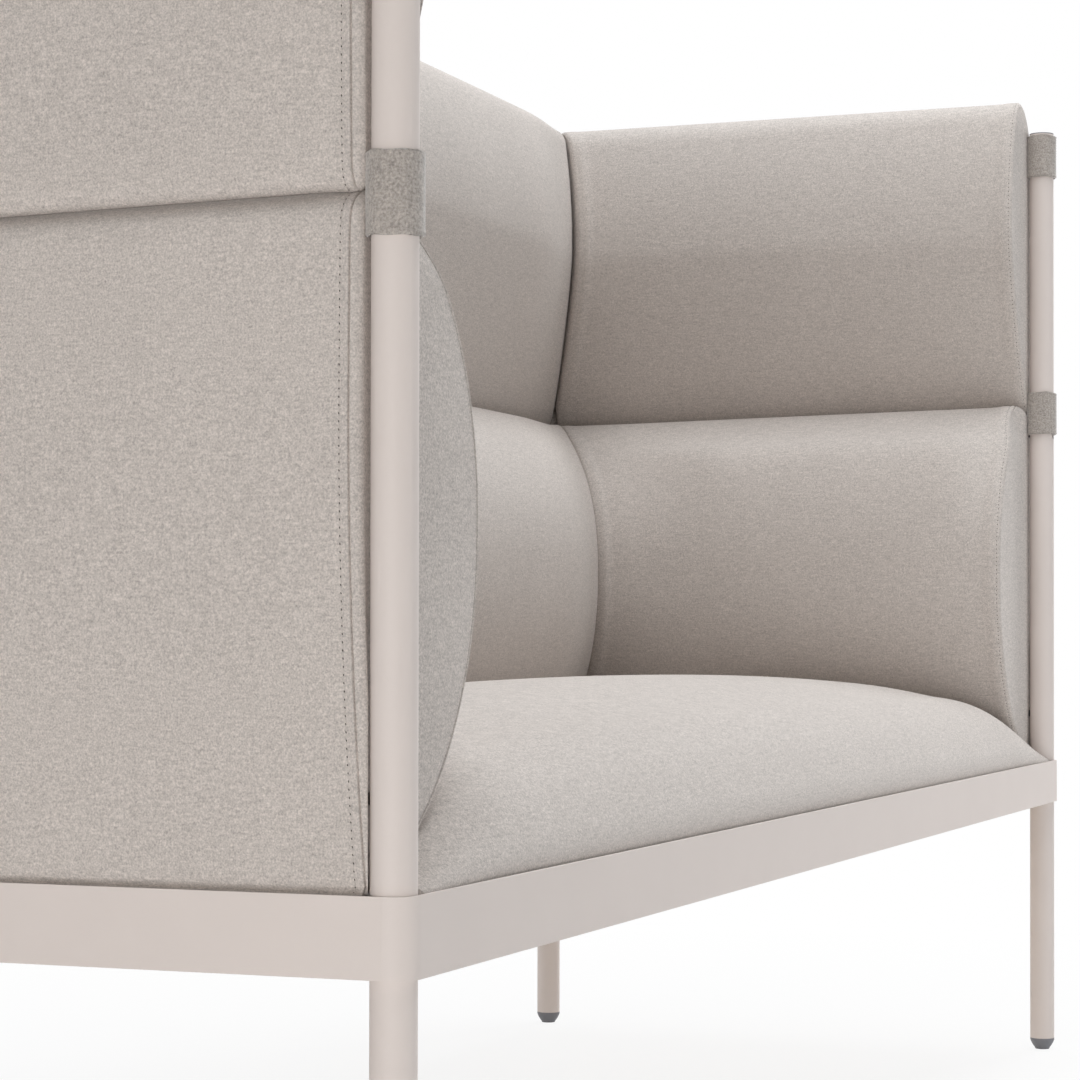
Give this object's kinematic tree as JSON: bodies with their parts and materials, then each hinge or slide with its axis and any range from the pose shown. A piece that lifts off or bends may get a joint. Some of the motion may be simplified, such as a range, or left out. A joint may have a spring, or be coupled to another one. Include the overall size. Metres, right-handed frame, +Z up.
{
  "type": "high-back sofa",
  "caption": "High-back upholstered sofa with slim tube posts, a flat steel band, one crowned seat cushion and padded panels in two tiers.",
  "frame": {"origin": "on the floor, at the middle of the rectangle of the four posts", "axes": "+Z up, +X to the right as seen from the front along the sofa's length, -Y the open front"},
  "size_m": [1.9144, 0.6584, 1.113],
  "materials": {
    "frame_paint": "matt powder coat, warm light beige",
    "cover_fabric": "woven wool cloth, light warm grey melange",
    "loop_felt": "wool felt, warm grey",
    "foam": "open-cell foam, never seen",
    "plywood": "bare plywood, never seen",
    "glide_plastic": "moulded grey plastic",
    "fastener_steel": "zinc-plated"
  },
  "bodies": {
    "root": {"base_band": "frame_paint", "post_front_left": "frame_paint", "foot_glide_front_left": "glide_plastic", "post_cap_front_left": "glide_plastic", "loop_front_left_middle": "loop_felt", "loop_front_left_top": "loop_felt", "post_front_right": "frame_paint", "foot_glide_front_right": "glide_plastic", "post_cap_front_right": "glide_plastic", "loop_front_right_middle": "loop_felt", "loop_front_right_top": "loop_felt", "post_back_left": "frame_paint", "foot_glide_back_left": "glide_plastic", "post_cap_back_left": "glide_plastic", "loop_back_left_middle": "loop_felt", "loop_back_left_top": "loop_felt", "post_back_right": "frame_paint", "foot_glide_back_right": "glide_plastic", "post_cap_back_right": "glide_plastic", "loop_back_right_middle": "loop_felt", "loop_back_right_top": "loop_felt", "seat_bearer_front": "frame_paint", "seat_bearer_right": "frame_paint", "seat_bearer_back": "frame_paint", "seat_bearer_left": "frame_paint", "seat_cross_bar_left": "frame_paint", "seat_cross_bar_centre": "frame_paint", "seat_cross_bar_right": "frame_paint", "seat_board": "plywood", "seat_screws": "fastener_steel", "seat_cover": "cover_fabric", "seat_foam": "foam", "panel_left_lower_board": "plywood", "panel_left_lower_foam": "foam", "panel_left_lower_cover": "cover_fabric", "panel_left_upper_board": "plywood", "panel_left_upper_foam": "foam", "panel_left_upper_cover": "cover_fabric", "panel_right_lower_board": "plywood", "panel_right_lower_foam": "foam", "panel_right_lower_cover": "cover_fabric", "panel_right_upper_board": "plywood", "panel_right_upper_foam": "foam", "panel_right_upper_cover": "cover_fabric", "panel_back_lower_board": "plywood", "panel_back_lower_foam": "foam", "panel_back_lower_cover": "cover_fabric", "panel_back_upper_board": "plywood", "panel_back_upper_foam": "foam", "panel_back_upper_cover": "cover_fabric", "lower_panel_bolts": "fastener_steel", "upper_panel_bolts": "fastener_steel", "panel_inserts": "fastener_steel", "saddle_washers": "fastener_steel", "locating_pins": "fastener_steel"}
  },
  "joints": []
}
